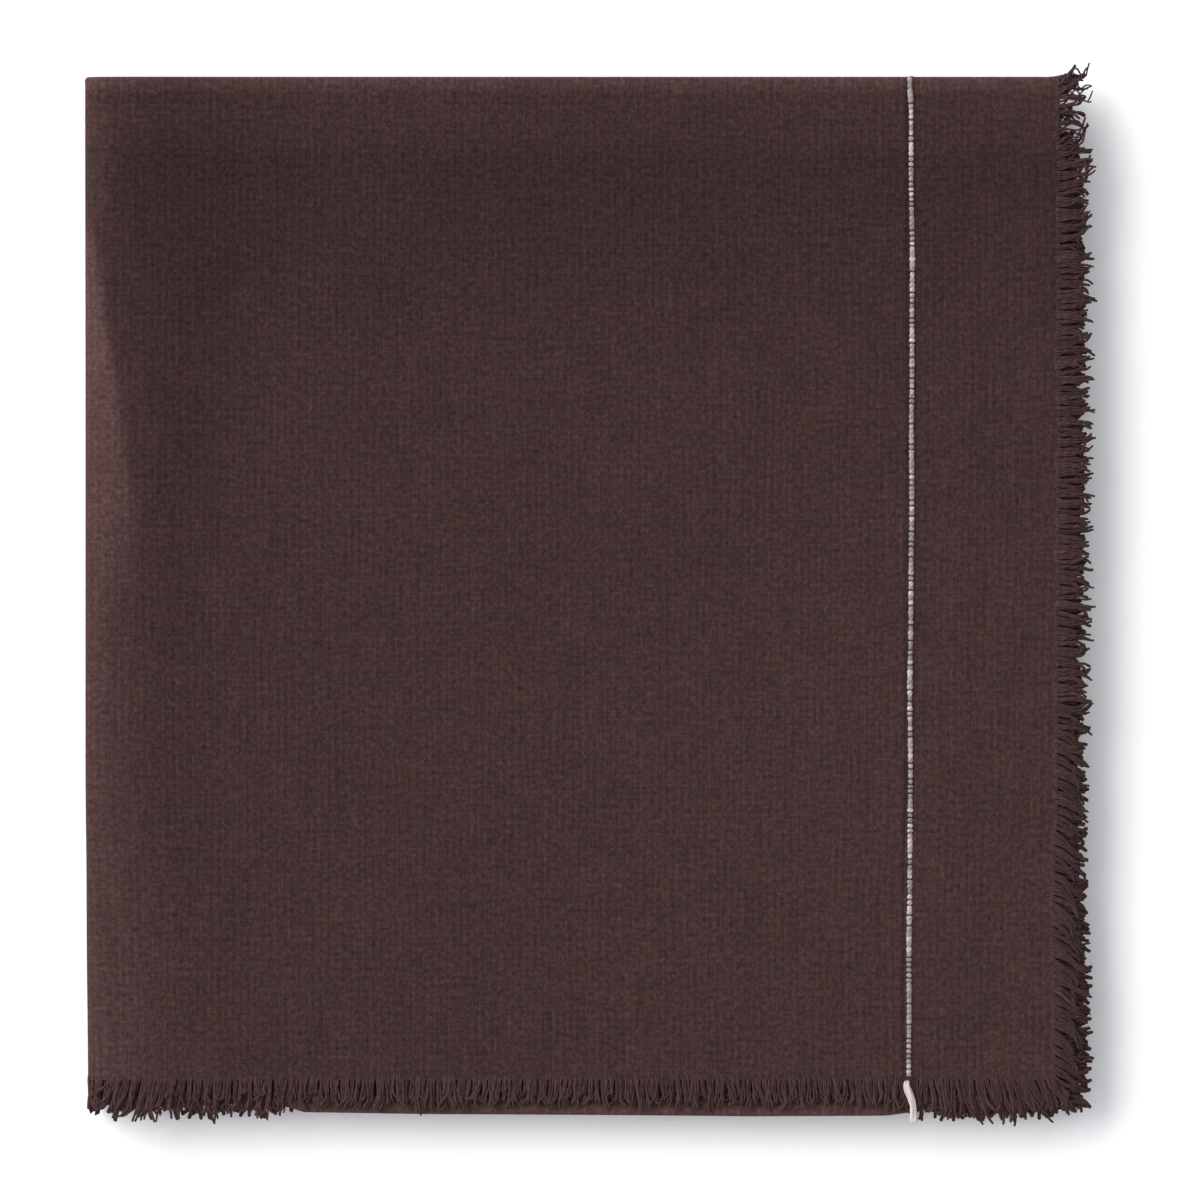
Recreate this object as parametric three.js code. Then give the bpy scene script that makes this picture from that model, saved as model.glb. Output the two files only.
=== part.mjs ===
// A fringed tablecloth with one woven stripe, folded in half twice each way into a flat pack.
// Millimetres, +Z up. It lies on the plane z = 0. +X is towards the open, fringed side and +Y towards the folded end.
import * as THREE from "three";

// Cloth
const SHEET = 1.0; // thickness of the woven cloth
const GAP = 0.3; // air between layers, and between cloth and fringe
const LAYER = SHEET + GAP; // from one layer to the next in a strip of four
const STRIP = 4 * LAYER; // from one strip of four layers to the next
const HALF = (3 * LAYER + SHEET) / 2; // half the height of a strip
const HEIGHT = 4 * STRIP - GAP; // of the whole pack

// Outline of the pack, before it is laid down unevenly
const FOLD_SIDE_X = -182.3; // outside of the large side fold
const OPEN_SIDE_X = 170.7; // woven edge of the top layer
const UNDER_SIDE_X = 180.9; // outside of the lower side fold, under the open side
const FOLD_END_Y = 189.0; // outside of the end fold
const OPEN_END_Y = -174.7; // woven edge of the top layer
const UNDER_END_Y = -186.7; // outside of the lower end fold, under the open end
const INNER_EDGE_IN = 1.6; // the second woven edge lies this much further in than the first
const SLIP = 2.4; // a strip's lowest layer stands out this much further than its top one

// Fringe
const FRINGE = 0.8; // thickness
const SIDE_FRINGE = 10.6; // length from the woven edge
const END_FRINGE = 13.4;
const SPINE = 1.0; // width of the band that the strands leave
const CLUMP = 20; // width of one clump of strands
const PARTING = 10; // width between clumps
const LONG_BEND = 20; // a bend longer than this has clumps in it

// Stripe yarn, by its distance from the woven edge of the open side
const STRIPE_IN = 54.0;
const TAIL_WIDTH = 2.6;
const TAIL_THICK = 0.8;
const TAIL = [
  // out: distance from the woven end, side: towards the open side. It leans, so its first corner lies nearer the fringe.
  { out: GAP + SPINE + GAP + 0.5, side: -0.9 },
  { out: 5.0, side: 0.3 },
  { out: 9.2, side: 0.9 },
  { out: 13.0, side: 1.2 },
  { out: 15.6, side: 1.5 },
];

// The end folds, made first: each row is one layer of a strip, along Y. Level 3 is the top one.
const END_BEND_Y = FOLD_END_Y - 1.5 * LAYER - SHEET / 2;
const UNDER_BEND_Y = UNDER_END_Y + LAYER / 2 + SHEET / 2;
const END_FOLDS = [
  { layer: "outer", level: 3, from: OPEN_END_Y, to: END_BEND_Y, bend: 6 },
  { layer: "under", level: 0, from: END_BEND_Y, to: UNDER_BEND_Y, bend: 4 },
  { layer: "middle", level: 1, from: UNDER_BEND_Y, to: END_BEND_Y, bend: 4 },
  {
    layer: "inner",
    level: 2,
    from: END_BEND_Y,
    to: OPEN_END_Y + INNER_EDGE_IN,
    bend: 0,
  },
];

// The side folds, made last: each row is one strip of four layers, along -X. Level 3 is the top one.
const SIDE_BEND = -FOLD_SIDE_X - 1.5 * STRIP - HALF;
const UNDER_BEND = -UNDER_SIDE_X + STRIP / 2 + HALF;
const SIDE_FOLDS = [
  { strip: "outer", level: 3, from: -OPEN_SIDE_X, to: SIDE_BEND, bend: 8 },
  { strip: "under", level: 0, from: SIDE_BEND, to: UNDER_BEND, bend: 6 },
  { strip: "middle", level: 1, from: UNDER_BEND, to: SIDE_BEND, bend: 4 },
  {
    strip: "inner",
    level: 2,
    from: SIDE_BEND,
    to: -OPEN_SIDE_X + INNER_EDGE_IN,
    bend: 0,
  },
];

// Where the layers get a station, so that neighbours follow the uneven shape together.
const STATIONS_Y = [-110, 20, 130, 165];
const STATIONS_X = [110, 150]; // along -X

// How the pack lies: the folded side wanders in, and the open side more so, towards the open end.
const OUTLINE = [
  { y: 189, foldSide: 0.0, openSide: 0.0 },
  { y: 60, foldSide: 0.1, openSide: 0.4 },
  { y: -60, foldSide: 0.1, openSide: -0.7 },
  { y: -110, foldSide: 0.5, openSide: -1.9 },
  { y: -187, foldSide: 1.1, openSide: -1.6 },
];

// Where the pack is fuller than its layers: soft ridges beside the folds, as a share of the height.
const FULLNESS = [
  { name: "side fold", x: -158, y: null, reachX: 24, reachY: null, rise: 0.04 },
  { name: "end fold", x: null, y: 166, reachX: null, reachY: 22, rise: 0.03 },
  { name: "puffed side", x: -162, y: 70, reachX: 22, reachY: 60, rise: 0.04 },
];

// The point of a folded line at each station: u along, w up, and the direction (nu, nw) of the cloth's face.
function foldedLine(rows, pitch, stationsOf) {
  const line = [];
  const put = (u, w, nu, nw, bend) => line.push({ u, w, nu, nw, bend });
  rows.forEach((row, i) => {
    const w = (row.level - 1.5) * pitch;
    const way = Math.sign(row.to - row.from);
    const stops = [row.from, ...stationsOf(row, i), row.to].sort(
      (a, b) => way * (a - b),
    );
    // A bend ends where the next row starts, so that point is there already.
    stops.slice(i ? 1 : 0).forEach((u) => put(u, w, 0, way, 0));
    const next = rows[i + 1];
    if (!next) return;
    const rise = (next.level - row.level) * pitch;
    const radius = Math.abs(rise) / 2;
    const out = Math.sign(rise) * way; // +1 where the cloth's face is inside the bend
    for (let k = 1; k <= row.bend; k++) {
      const a = (Math.PI * k) / row.bend;
      const du = way * Math.sin(a);
      const dw = -Math.sign(rise) * Math.cos(a);
      put(
        row.to + radius * du,
        w + rise / 2 + radius * dw,
        -out * du,
        -out * dw,
        radius,
      );
    }
  });
  return line;
}

const between = (list) => (row) =>
  list.filter(
    (s) =>
      s > Math.min(row.from, row.to) + 1 && s < Math.max(row.from, row.to) - 1,
  );

// Smooth step between the rows of the outline table.
function outlineAt(y, column) {
  if (y >= OUTLINE[0].y) return OUTLINE[0][column];
  for (let i = 1; i < OUTLINE.length; i++) {
    const a = OUTLINE[i - 1];
    const b = OUTLINE[i];
    if (y >= b.y) {
      const t = (a.y - y) / (a.y - b.y);
      return a[column] + (b[column] - a[column]) * t * t * (3 - 2 * t);
    }
  }
  return OUTLINE[OUTLINE.length - 1][column];
}

function fullness(x, y) {
  return FULLNESS.reduce((sum, f) => {
    const a = f.x === null ? 0 : (x - f.x) / f.reachX;
    const b = f.y === null ? 0 : (y - f.y) / f.reachY;
    return sum + f.rise * Math.exp(-(a * a + b * b));
  }, 0);
}

// A point of the even pack, moved to where it lies in the uneven one.
function laid(x, y, z) {
  const t = (x - FOLD_SIDE_X) / (OPEN_SIDE_X - FOLD_SIDE_X);
  return [
    x + outlineAt(y, "foldSide") * (1 - t) + outlineAt(y, "openSide") * t,
    y,
    z * (1 + fullness(x, y)),
  ];
}

// A point of the pack: on the side folds' line, h towards the face, at y, and out past the line's free end.
function pointAt(side, y, h, out = 0) {
  const u = side.u + side.nu * h - out;
  const w = side.w + side.nw * h + HEIGHT / 2;
  return laid(-u, y, w);
}

// How far the free end of a strip stands out past its top layer, at h towards the face.
const slipAt = (end, h) => (SLIP * (HALF - end.nw * h)) / (2 * HALF);

// A closed surface from points and quads, turned so that its faces point out.
function solid(points, quads) {
  const index = quads.flatMap((q) =>
    q.length === 3 ? q : [q[0], q[1], q[2], q[0], q[2], q[3]],
  );
  const volume = index.reduce((sum, _, i) => {
    if (i % 3) return sum;
    const [a, b, c] = [0, 1, 2].map(
      (k) => new THREE.Vector3(...points[index[i + k]]),
    );
    return sum + a.dot(b.cross(c));
  }, 0);
  if (volume < 0) index.reverse();
  const g = new THREE.BufferGeometry();
  g.setAttribute(
    "position",
    new THREE.Float32BufferAttribute(points.flat(), 3),
  );
  g.setIndex(index);
  return g;
}

// The cloth: the strip's section, swept along the side folds.
function clothGeometry() {
  const section = foldedLine(END_FOLDS, LAYER, between(STATIONS_Y));
  const side = foldedLine(SIDE_FOLDS, STRIP, between(STATIONS_X));
  const ring = [
    ...section.map((p) => ({ p, n: SHEET / 2 })),
    ...section.map((p) => ({ p, n: -SHEET / 2 })).reverse(),
  ];
  const N = ring.length;
  const points = [];
  side.forEach((s, i) => {
    ring.forEach(({ p, n }) => {
      const h = p.w + p.nw * n;
      const free = i === 0 || i === side.length - 1;
      points.push(pointAt(s, p.u + p.nu * n, h, free ? slipAt(s, h) : 0));
    });
  });
  const quads = [];
  for (let i = 0; i + 1 < side.length; i++)
    for (let j = 0; j < N; j++) {
      const k = (j + 1) % N;
      quads.push([i * N + j, (i + 1) * N + j, (i + 1) * N + k, i * N + k]);
    }
  // The two cut ends: across the sheet from one face to the other.
  const M = section.length;
  for (let j = 0; j + 1 < M; j++) {
    const other = (k) => N - 1 - k;
    quads.push([j, j + 1, other(j + 1), other(j)]);
    const e = (side.length - 1) * N;
    quads.push([e + j + 1, e + j, e + other(j), e + other(j + 1)]);
  }
  return solid(points, quads);
}

// A fringe: a comb along a folded edge. at(station, out, face) gives its points.
function combGeometry(line, at, length) {
  const points = [];
  const quads = [];
  const spine = line.map((s) => {
    const first = points.length;
    for (const out of [GAP, GAP + SPINE])
      for (const face of [-1, 1]) points.push(at(s, out, face));
    return [first, first + 1, first + 2, first + 3]; // inner -, inner +, outer -, outer +
  });
  const clump = (i) => i >= 0 && i + 1 < line.length && line[i + 1].clump;
  const tips = new Map();
  const tip = (i) => {
    if (!tips.has(i)) {
      const first = points.length;
      for (const face of [-1, 1]) points.push(at(line[i], length, face));
      tips.set(i, [first, first + 1]);
    }
    return tips.get(i);
  };
  for (let i = 0; i + 1 < line.length; i++) {
    const [a, b] = [spine[i], spine[i + 1]];
    quads.push([a[1], b[1], b[3], a[3]]);
    quads.push([b[0], a[0], a[2], b[2]]);
    quads.push([a[0], b[0], b[1], a[1]]);
    if (clump(i)) {
      const [c, d] = [tip(i), tip(i + 1)];
      quads.push([a[3], b[3], d[1], c[1]]);
      quads.push([b[2], a[2], c[0], d[0]]);
      quads.push([d[0], c[0], c[1], d[1]]);
      if (!clump(i - 1)) quads.push([a[2], a[3], c[1], c[0]]);
      if (!clump(i + 1)) quads.push([b[3], b[2], d[0], d[1]]);
    } else quads.push([b[2], a[2], a[3], b[3]]);
  }
  const first = spine[0];
  const last = spine[spine.length - 1];
  quads.push([first[0], first[1], first[3], first[2]]);
  quads.push([last[1], last[0], last[2], last[3]]);
  return solid(points, quads);
}

// The comb's stations along folded rows: clumps and partings on the straight runs, every other step of a long bend.
function combLine(rows, pitch, trim) {
  const fitted = rows.map((r, i) => ({
    ...r,
    from: i ? r.from : r.from + trim,
    to: i < rows.length - 1 ? r.to : r.to - Math.sign(r.to - r.from) * trim,
  }));
  // Clumps are counted from the free edge, so they stand over each other in every layer.
  const edge = rows[0].from;
  const stops = (row) => {
    const out = [];
    for (let s = edge; s < Math.max(row.from, row.to); s += CLUMP + PARTING)
      out.push(s + CLUMP, s + CLUMP + PARTING);
    return between(out)(row);
  };
  const line = foldedLine(fitted, pitch, stops);
  line.forEach((p, i) => {
    if (!i) return;
    const q = line[i - 1];
    const middle = (p.u + q.u) / 2 - edge;
    p.clump = p.bend
      ? Math.PI * p.bend > LONG_BEND && i % 2 === 0
      : middle % (CLUMP + PARTING) < CLUMP && middle > 0;
  });
  return line;
}

// The end fringes follow the side folds, at the height of their layer in the strip.
function endFringe(row, endY) {
  const h = (row.level - 1.5) * LAYER;
  return combGeometry(
    combLine(SIDE_FOLDS, STRIP, 0.5),
    (s, out, face) => pointAt(s, endY - out, h + (face * FRINGE) / 2),
    END_FRINGE,
  );
}

// The side fringes follow the end folds, at the free end of their strip.
function sideFringe(end) {
  return combGeometry(
    combLine(END_FOLDS, LAYER, 0.5),
    (s, out, face) => {
      const n = (face * FRINGE) / 2;
      const h = s.w + s.nw * n;
      return pointAt(end, s.u + s.nu * n, h, out + slipAt(end, h));
    },
    SIDE_FRINGE,
  );
}

// The loose end of the stripe yarn: a flattened tube that leaves the woven end between two clumps.
function tailGeometry(row, endY, side) {
  const h = (row.level - 1.5) * LAYER;
  const x = OPEN_SIDE_X - STRIPE_IN;
  const z = side.w + side.nw * h + HEIGHT / 2;
  const curve = new THREE.CatmullRomCurve3(
    TAIL.map((t) => {
      const p = laid(x + t.side, endY - t.out, z);
      return new THREE.Vector3(...p);
    }),
  );
  const outline = new THREE.Shape();
  outline.absellipse(0, 0, TAIL_THICK / 2, TAIL_WIDTH / 2, 0, 2 * Math.PI);
  const g = new THREE.ExtrudeGeometry(outline, {
    steps: 8,
    curveSegments: 5,
    extrudePath: curve,
  });
  return g;
}

const sideEnds = (() => {
  const line = foldedLine(SIDE_FOLDS, STRIP, () => []);
  return { upper: line[0], inner: line[line.length - 1] };
})();

const BROWN = { color: 0x463130, roughness: 0.95, metalness: 0 };
const CREAM = { color: 0xe6ded4, roughness: 0.9, metalness: 0 };

const INNER_END_Y = OPEN_END_Y + INNER_EDGE_IN;
const pieces = [
  { name: "cloth", look: BROWN, geometry: clothGeometry() },
  {
    name: "fringe_end_upper",
    look: BROWN,
    geometry: endFringe(END_FOLDS[0], OPEN_END_Y),
  },
  {
    name: "fringe_end_inner",
    look: BROWN,
    geometry: endFringe(END_FOLDS[3], INNER_END_Y),
  },
  {
    name: "fringe_side_upper",
    look: BROWN,
    geometry: sideFringe(sideEnds.upper),
  },
  {
    name: "fringe_side_inner",
    look: BROWN,
    geometry: sideFringe(sideEnds.inner),
  },
  {
    name: "stripe_tail_upper",
    look: CREAM,
    geometry: tailGeometry(END_FOLDS[0], OPEN_END_Y, sideEnds.upper),
  },
  {
    name: "stripe_tail_inner",
    look: CREAM,
    geometry: tailGeometry(END_FOLDS[3], INNER_END_Y, sideEnds.upper),
  },
];

const tablecloth = new THREE.Group();
for (const { name, look, geometry } of pieces) {
  const mesh = new THREE.Mesh(geometry, new THREE.MeshStandardMaterial(look));
  mesh.name = name;
  tablecloth.add(mesh);
}

// The origin is the middle of the pack's footprint, on the surface that it lies on.
const box = new THREE.Box3().setFromObject(tablecloth);
const middle = box.getCenter(new THREE.Vector3());
tablecloth.children.forEach((m) =>
  m.geometry.translate(-middle.x, -middle.y, -box.min.z),
);

export default tablecloth;
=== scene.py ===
import bpy
import math
import numpy as np
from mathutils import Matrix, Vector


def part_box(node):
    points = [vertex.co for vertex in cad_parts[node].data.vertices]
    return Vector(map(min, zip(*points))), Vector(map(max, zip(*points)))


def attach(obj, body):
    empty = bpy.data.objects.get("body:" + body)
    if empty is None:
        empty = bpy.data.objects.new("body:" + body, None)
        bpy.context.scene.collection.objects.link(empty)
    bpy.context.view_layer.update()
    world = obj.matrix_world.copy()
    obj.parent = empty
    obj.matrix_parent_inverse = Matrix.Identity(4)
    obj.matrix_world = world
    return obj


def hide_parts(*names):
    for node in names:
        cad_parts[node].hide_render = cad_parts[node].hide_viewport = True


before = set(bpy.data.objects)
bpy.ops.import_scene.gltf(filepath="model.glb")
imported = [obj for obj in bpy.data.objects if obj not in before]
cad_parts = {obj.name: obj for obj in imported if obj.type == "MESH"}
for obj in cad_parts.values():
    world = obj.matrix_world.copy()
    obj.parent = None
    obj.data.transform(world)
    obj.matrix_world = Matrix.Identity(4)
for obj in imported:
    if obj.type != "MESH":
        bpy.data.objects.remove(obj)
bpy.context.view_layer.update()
RNG = np.random.default_rng(20)

# ---------------------------------------------------------------- sizes, in millimetres
SHEET = 1.0  # thickness of the woven cloth
GAP = 0.3
LAYER = SHEET + GAP
STRIP = 4 * LAYER
HALF = (3 * LAYER + SHEET) / 2
HEIGHT = 4 * STRIP - GAP

FOLD_SIDE_X = -182.3
OPEN_SIDE_X = 170.7
UNDER_SIDE_X = 180.9
FOLD_END_Y = 189.0
OPEN_END_Y = -174.7
UNDER_END_Y = -186.7
INNER_EDGE_IN = 1.6
SLIP = 2.4
END_BEND_Y = FOLD_END_Y - 1.5 * LAYER - SHEET / 2
UNDER_BEND_Y = UNDER_END_Y + LAYER / 2 + SHEET / 2
SIDE_BEND = -FOLD_SIDE_X - 1.5 * STRIP - HALF
UNDER_BEND = -UNDER_SIDE_X + STRIP / 2 + HALF

PICK = 0.92  # distance between the cloth's yarns
BEAD = 1.85  # distance between the stripe's beads
STRIPE_IN = 53.6
RIB = 2.67  # distance between the ribs that run along the cloth

# The layers of a strip, along Y, and the strips, along -X: name, level, from, to
END_FOLDS = [
    ("outer", 3, OPEN_END_Y, END_BEND_Y),
    ("under", 0, END_BEND_Y, UNDER_BEND_Y),
    ("middle", 1, UNDER_BEND_Y, END_BEND_Y),
    ("inner", 2, END_BEND_Y, OPEN_END_Y + INNER_EDGE_IN),
]
SIDE_FOLDS = [
    ("outer", 3, -OPEN_SIDE_X, SIDE_BEND),
    ("under", 0, SIDE_BEND, UNDER_BEND),
    ("middle", 1, UNDER_BEND, SIDE_BEND),
    ("inner", 2, SIDE_BEND, -OPEN_SIDE_X + INNER_EDGE_IN),
]

# How the folded side and the open side wander: y, folded side, open side
OUTLINE = [
    (189, -0.3, 0.0),
    (60, -0.2, 0.4),
    (-60, -0.2, -0.5),
    (-110, 0.2, -1.6),
    (-187, 0.8, -1.4),
]

# Where the pack is fuller than its layers: x, y, reach in x, reach in y, rise as a share of the height
FULLNESS = [
    (-158, None, 24, None, 0.04),
    (None, 166, None, 22, 0.03),
    (-162, 70, 22, 60, 0.04),
]

# How far the lower side fold falls short of the solid's, by y
SIDE_SHORT = [
    (-187, 1.6),
    (-150, 0.8),
    (-112, 0.4),
    (-96, 2.0),
    (-60, 2.6),
    (-44, 1.6),
    (-22, 3.2),
    (20, 3.8),
    (120, 3.4),
    (150, 3.2),
    (162, 6.5),
    (169, 11.5),
    (189, 11.5),
]

# How far the lower end fold of the top strip falls short, by x
END_SHORT = [
    (-190, 3.4),
    (-172, 4.6),
    (-130, 4.2),
    (-112, 3.2),
    (-104, 0.2),
    (-60, -0.5),
    (0, -0.8),
    (60, -1.3),
    (108, -1.1),
    (120, 0.6),
    (130, 2.0),
    (182, 2.4),
]

# Soft ridges and hollows on top: x, y, direction they run in (degrees from +X), reach along, reach across, rise in mm
RELIEF = [
    (-164, 20, 90, 420, 17, 1.6),
    (-150, 70, 82, 80, 14, 0.9),
    (-171, 65, 90, 40, 8, 0.4),
    (0, 168, 0, 420, 14, 1.9),
    (164, 128, 90, 42, 6, 0.5),
    (-125, 95, 70, 70, 24, -0.8),
    (-60, 128, 10, 130, 24, -0.6),
    (60, 140, 0, 120, 22, -0.3),
    (134, -90, 90, 150, 7, 0.34),
    (90, 19, 0, 110, 6, 0.18),
    (100, -8, 2, 100, 6, 0.20),
    (95, -37, 0, 110, 6, 0.22),
    (100, -73, -2, 110, 6, 0.20),
    (34, 55, 90, 25, 20, 0.35),
    (60, -150, 0, 200, 22, 0.35),
    (-30, -60, 60, 130, 40, 0.35),
]

# Creases with the cloth falling away on their left: from x, y, to x, y, slope, softness in mm
CREASES = [
    (-179.5, 124, -165.5, 38, 0.55, 1.4),
    (-164.5, 38, -172, -12, 0.20, 3.0),
    (-168, -12, -164, -120, 0.12, 4.0),
]

# Small puckers all over the top: wavelength in mm, direction in degrees, phase, height in mm
PUCKERS = [
    (9.7, 12, 0.3, 0.022),
    (11.9, 101, 1.9, 0.024),
    (14.3, 58, 4.1, 0.026),
    (17.9, 147, 2.2, 0.034),
    (23.3, 82, 5.3, 0.044),
    (31.0, 24, 0.9, 0.060),
    (39.0, 118, 3.7, 0.070),
    (53.0, 70, 2.9, 0.085),
]


def table(rows, column=1):
    at = np.array([r[0] for r in rows], float)
    value = np.array([r[column] for r in rows], float)
    order = np.argsort(at)
    at, value = at[order], value[order]

    def look(v, soft=False):
        v = np.clip(np.asarray(v, float), at[0], at[-1])
        if not soft:
            return np.interp(v, at, value)
        i = np.clip(np.searchsorted(at, v, side="right") - 1, 0, len(at) - 2)
        t = (v - at[i]) / (at[i + 1] - at[i])
        return value[i] + (value[i + 1] - value[i]) * t * t * (3 - 2 * t)

    return look


def smooth(v, low, high):
    t = np.clip((np.asarray(v, float) - low) / (high - low), 0, 1)
    return t * t * (3 - 2 * t)


# ---------------------------------------------------------------- the folded line
class FoldedLine:
    """Distance along the flat cloth, to its place on the folds and the way that its face looks."""

    def __init__(self, rows, pitch):
        self.parts = []
        s = 0.0
        for i, (_, level, a, b) in enumerate(rows):
            w = (level - 1.5) * pitch
            way = 1.0 if b > a else -1.0
            self.parts.append(("run", s, s + abs(b - a), a, way, w, 0.0, 0.0))
            s += abs(b - a)
            if i + 1 < len(rows):
                rise = (rows[i + 1][1] - level) * pitch
                r = abs(rise) / 2
                self.parts.append(("bend", s, s + math.pi * r, b, way, w, r, rise))
                s += math.pi * r
        self.length = s

    def at(self, s):
        s = np.asarray(s, float)
        u, w, nu, nw = (np.zeros(s.shape) for _ in range(4))
        for k, (kind, s0, s1, a, way, w0, r, rise) in enumerate(self.parts):
            low = -1e9 if k == 0 else s0
            high = 1e9 if k == len(self.parts) - 1 else s1
            m = (s >= low) & (s <= high)
            d = s[m] - s0
            if kind == "run":
                u[m], w[m], nu[m], nw[m] = a + way * d, w0, 0.0, way
            else:
                up = 1.0 if rise > 0 else -1.0
                du, dw = way * np.sin(d / r), -up * np.cos(d / r)
                u[m], w[m] = a + r * du, w0 + rise / 2 + r * dw
                nu[m], nw[m] = -up * way * du, -up * way * dw
        return u, w, nu, nw


SIDE = FoldedLine(SIDE_FOLDS, STRIP)
END = FoldedLine(END_FOLDS, LAYER)
RUN = [p for p in SIDE.parts if p[0] == "run"]

fold_side_at, open_side_at = table(OUTLINE, 1), table(OUTLINE, 2)
side_short, end_short = table(SIDE_SHORT), table(END_SHORT)


def fullness(x, y):
    total = np.zeros(np.broadcast(x, y).shape)
    for fx, fy, rx, ry, rise in FULLNESS:
        a = 0 if fx is None else (x - fx) / rx
        b = 0 if fy is None else (y - fy) / ry
        total = total + rise * np.exp(-(a * a + b * b))
    return total


def relief(x, y):
    total = np.zeros(np.broadcast(x, y).shape)
    for x0, y0, x1, y1, slope, soft in CREASES:
        long = math.hypot(x1 - x0, y1 - y0)
        tx, ty = (x1 - x0) / long, (y1 - y0) / long
        along = ((x - x0) * tx + (y - y0) * ty) / long
        left = (x - x0) * ty - (y - y0) * tx
        inside = smooth(along, -0.12, 0.15) * (1 - smooth(along, 0.85, 1.12))
        total = total - slope * soft * np.logaddexp(0, left / soft) * inside
    for wave, turn, phase, rise in PUCKERS:
        c, s = math.cos(math.radians(turn)), math.sin(math.radians(turn))
        a, b = x * c + y * s, -x * s + y * c
        gate = 0.55 + 0.45 * np.sin(b / (wave * 0.41) + 2.3 * phase) * np.sin(a / (wave * 0.67) + phase)
        total = total + rise * gate * np.sin(2 * math.pi * a / wave + phase + 0.9 * np.sin(b / (wave * 0.8)))
    for fx, fy, turn, along, across, rise in RELIEF:
        c, s = math.cos(math.radians(turn)), math.sin(math.radians(turn))
        a = ((x - fx) * c + (y - fy) * s) / along
        b = (-(x - fx) * s + (y - fy) * c) / across
        total = total + rise * np.exp(-(a * a + b * b))
    return total


SHIFT = np.array(
    [
        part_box("cloth")[0].x * 1000 - FOLD_SIDE_X,
        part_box("fringe_end_upper")[1].y * 1000 - (OPEN_END_Y - GAP),
        0.0,
    ]
)


def laid(x, y, z):
    """A point of the even pack, moved to where it lies, in millimetres of the part's frame."""
    t = (x - FOLD_SIDE_X) / (OPEN_SIDE_X - FOLD_SIDE_X)
    X = x + fold_side_at(y, True) * (1 - t) + open_side_at(y, True) * t
    # The lower side fold lies further in than the solid's.
    low = smooth(12.5 - z, 0, 2.5)
    X = X - side_short(y) * smooth(x, 90, 176) * low
    top = np.clip(z / HEIGHT, 0, 1.15) ** 3
    Z = z * (1 + fullness(x, y)) + relief(x, y) * top
    return np.stack(np.broadcast_arrays(X, y, Z), -1) + SHIFT


def slip(h, nw, u):
    """How far the free ends of a strip stand out past its top layer."""
    near = np.clip((110.0 - u) / (110.0 + OPEN_SIDE_X), 0, 1.3)
    return SLIP * (HALF - nw * h) / (2 * HALF) * near


def strip_share(ss):
    """1 in the outer and inner strips, whose free ends slip, and 0 in the others."""
    free = (ss <= RUN[0][2]) | (ss >= RUN[3][1])
    return np.where(free, 1.0, 0.0)


def wander(ss):
    """Each strip's lower end fold lies a little further in or out than the next."""
    return 0.45 + 0.45 * np.sin(ss / 61.0 + 0.4) * np.sin(ss / 143.0 + 1.1)


def at(ss, y, h, out=0.0, lat=0.0):
    """A point at ss along the side folds, at y, and h from the strip's middle towards its face."""
    u, w, nu, nw = SIDE.at(ss)
    u, w = u + nw * lat, w - nu * lat
    # Lower end folds, in the half of each strip that holds them
    short = end_short(-u) + np.where(ss > RUN[0][2], wander(ss), 0.0)
    y = y + short * smooth(-y, 120, 182) * smooth(-h, -0.3, 0.65)
    flush = 1 - 0.92 * smooth(y, 146, 166)
    U = u + nu * h - slip(h, nw, u) * strip_share(ss) * flush - out
    W = w + nw * h + HEIGHT / 2
    return laid(-U, y, W)


def on_cloth(ss, se, n):
    """A point of the cloth: ss and se are its flat place, n is the distance from its middle to the face side."""
    u, w, nu, nw = END.at(se)
    y, h = u + nu * n, w + nw * n
    # The end fold is pressed, so its round section is squarer, most where the side fold turns it.
    past = np.maximum(y - END_BEND_Y, 0)
    corner = (2 * past * h) ** 2 / np.maximum(past * past + h * h, 1e-9) ** 2
    more = (0.10 + 0.16 * SIDE.at(ss)[2] ** 2) * corner
    return at(ss, y + past * more, h * (1 + more))


# ---------------------------------------------------------------- mesh helpers
def new_object(name, verts, faces, uvs, material, attributes=None):
    mesh = bpy.data.meshes.new(name)
    mesh.from_pydata((np.asarray(verts) * 0.001).tolist(), [], np.asarray(faces).tolist())
    for key, uv in uvs.items():
        layer = mesh.uv_layers.new(name=key)
        layer.data.foreach_set("uv", np.asarray(uv, np.float32).ravel())
    for key, value in (attributes or {}).items():
        a = mesh.attributes.new(key, "FLOAT", "POINT")
        a.data.foreach_set("value", np.asarray(value, np.float32).ravel())
    mesh.polygons.foreach_set("use_smooth", np.ones(len(mesh.polygons), bool))
    mesh.materials.append(material)
    mesh.update()
    mesh.validate()
    obj = bpy.data.objects.new(name, mesh)
    bpy.context.scene.collection.objects.link(obj)
    return obj


def steps(line, rows, knots, parts, bends):
    """Stations along a folded line: knots on every run, each gap cut into parts on the first one."""
    stations = []
    runs = [p for p in line.parts if p[0] == "run"]
    folds = [p for p in line.parts if p[0] == "bend"]
    for i, (_, s0, s1, a, way, *_rest) in enumerate(runs):
        b = a + way * (s1 - s0)
        inside = [k for k in knots if min(a, b) + 1.5 < k < max(a, b) - 1.5]
        inside = sorted([a, b] + inside, key=lambda v: way * v)
        for k in range(len(inside) - 1):
            lo, hi = inside[k], inside[k + 1]
            n = max(1, round(abs(hi - lo) / parts)) if i == 0 else 1
            for j in range(n):
                stations.append(s0 + way * (lo + (hi - lo) * j / n - a))
                if not len(stations[:-1]):
                    stations += [0.25, 0.8]
        if i < len(folds):
            f = folds[i]
            stations += [f[1] + (f[2] - f[1]) * j / bends[i] for j in range(bends[i])]
    return np.array(stations + [line.length - 0.8, line.length - 0.25, line.length])


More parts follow.
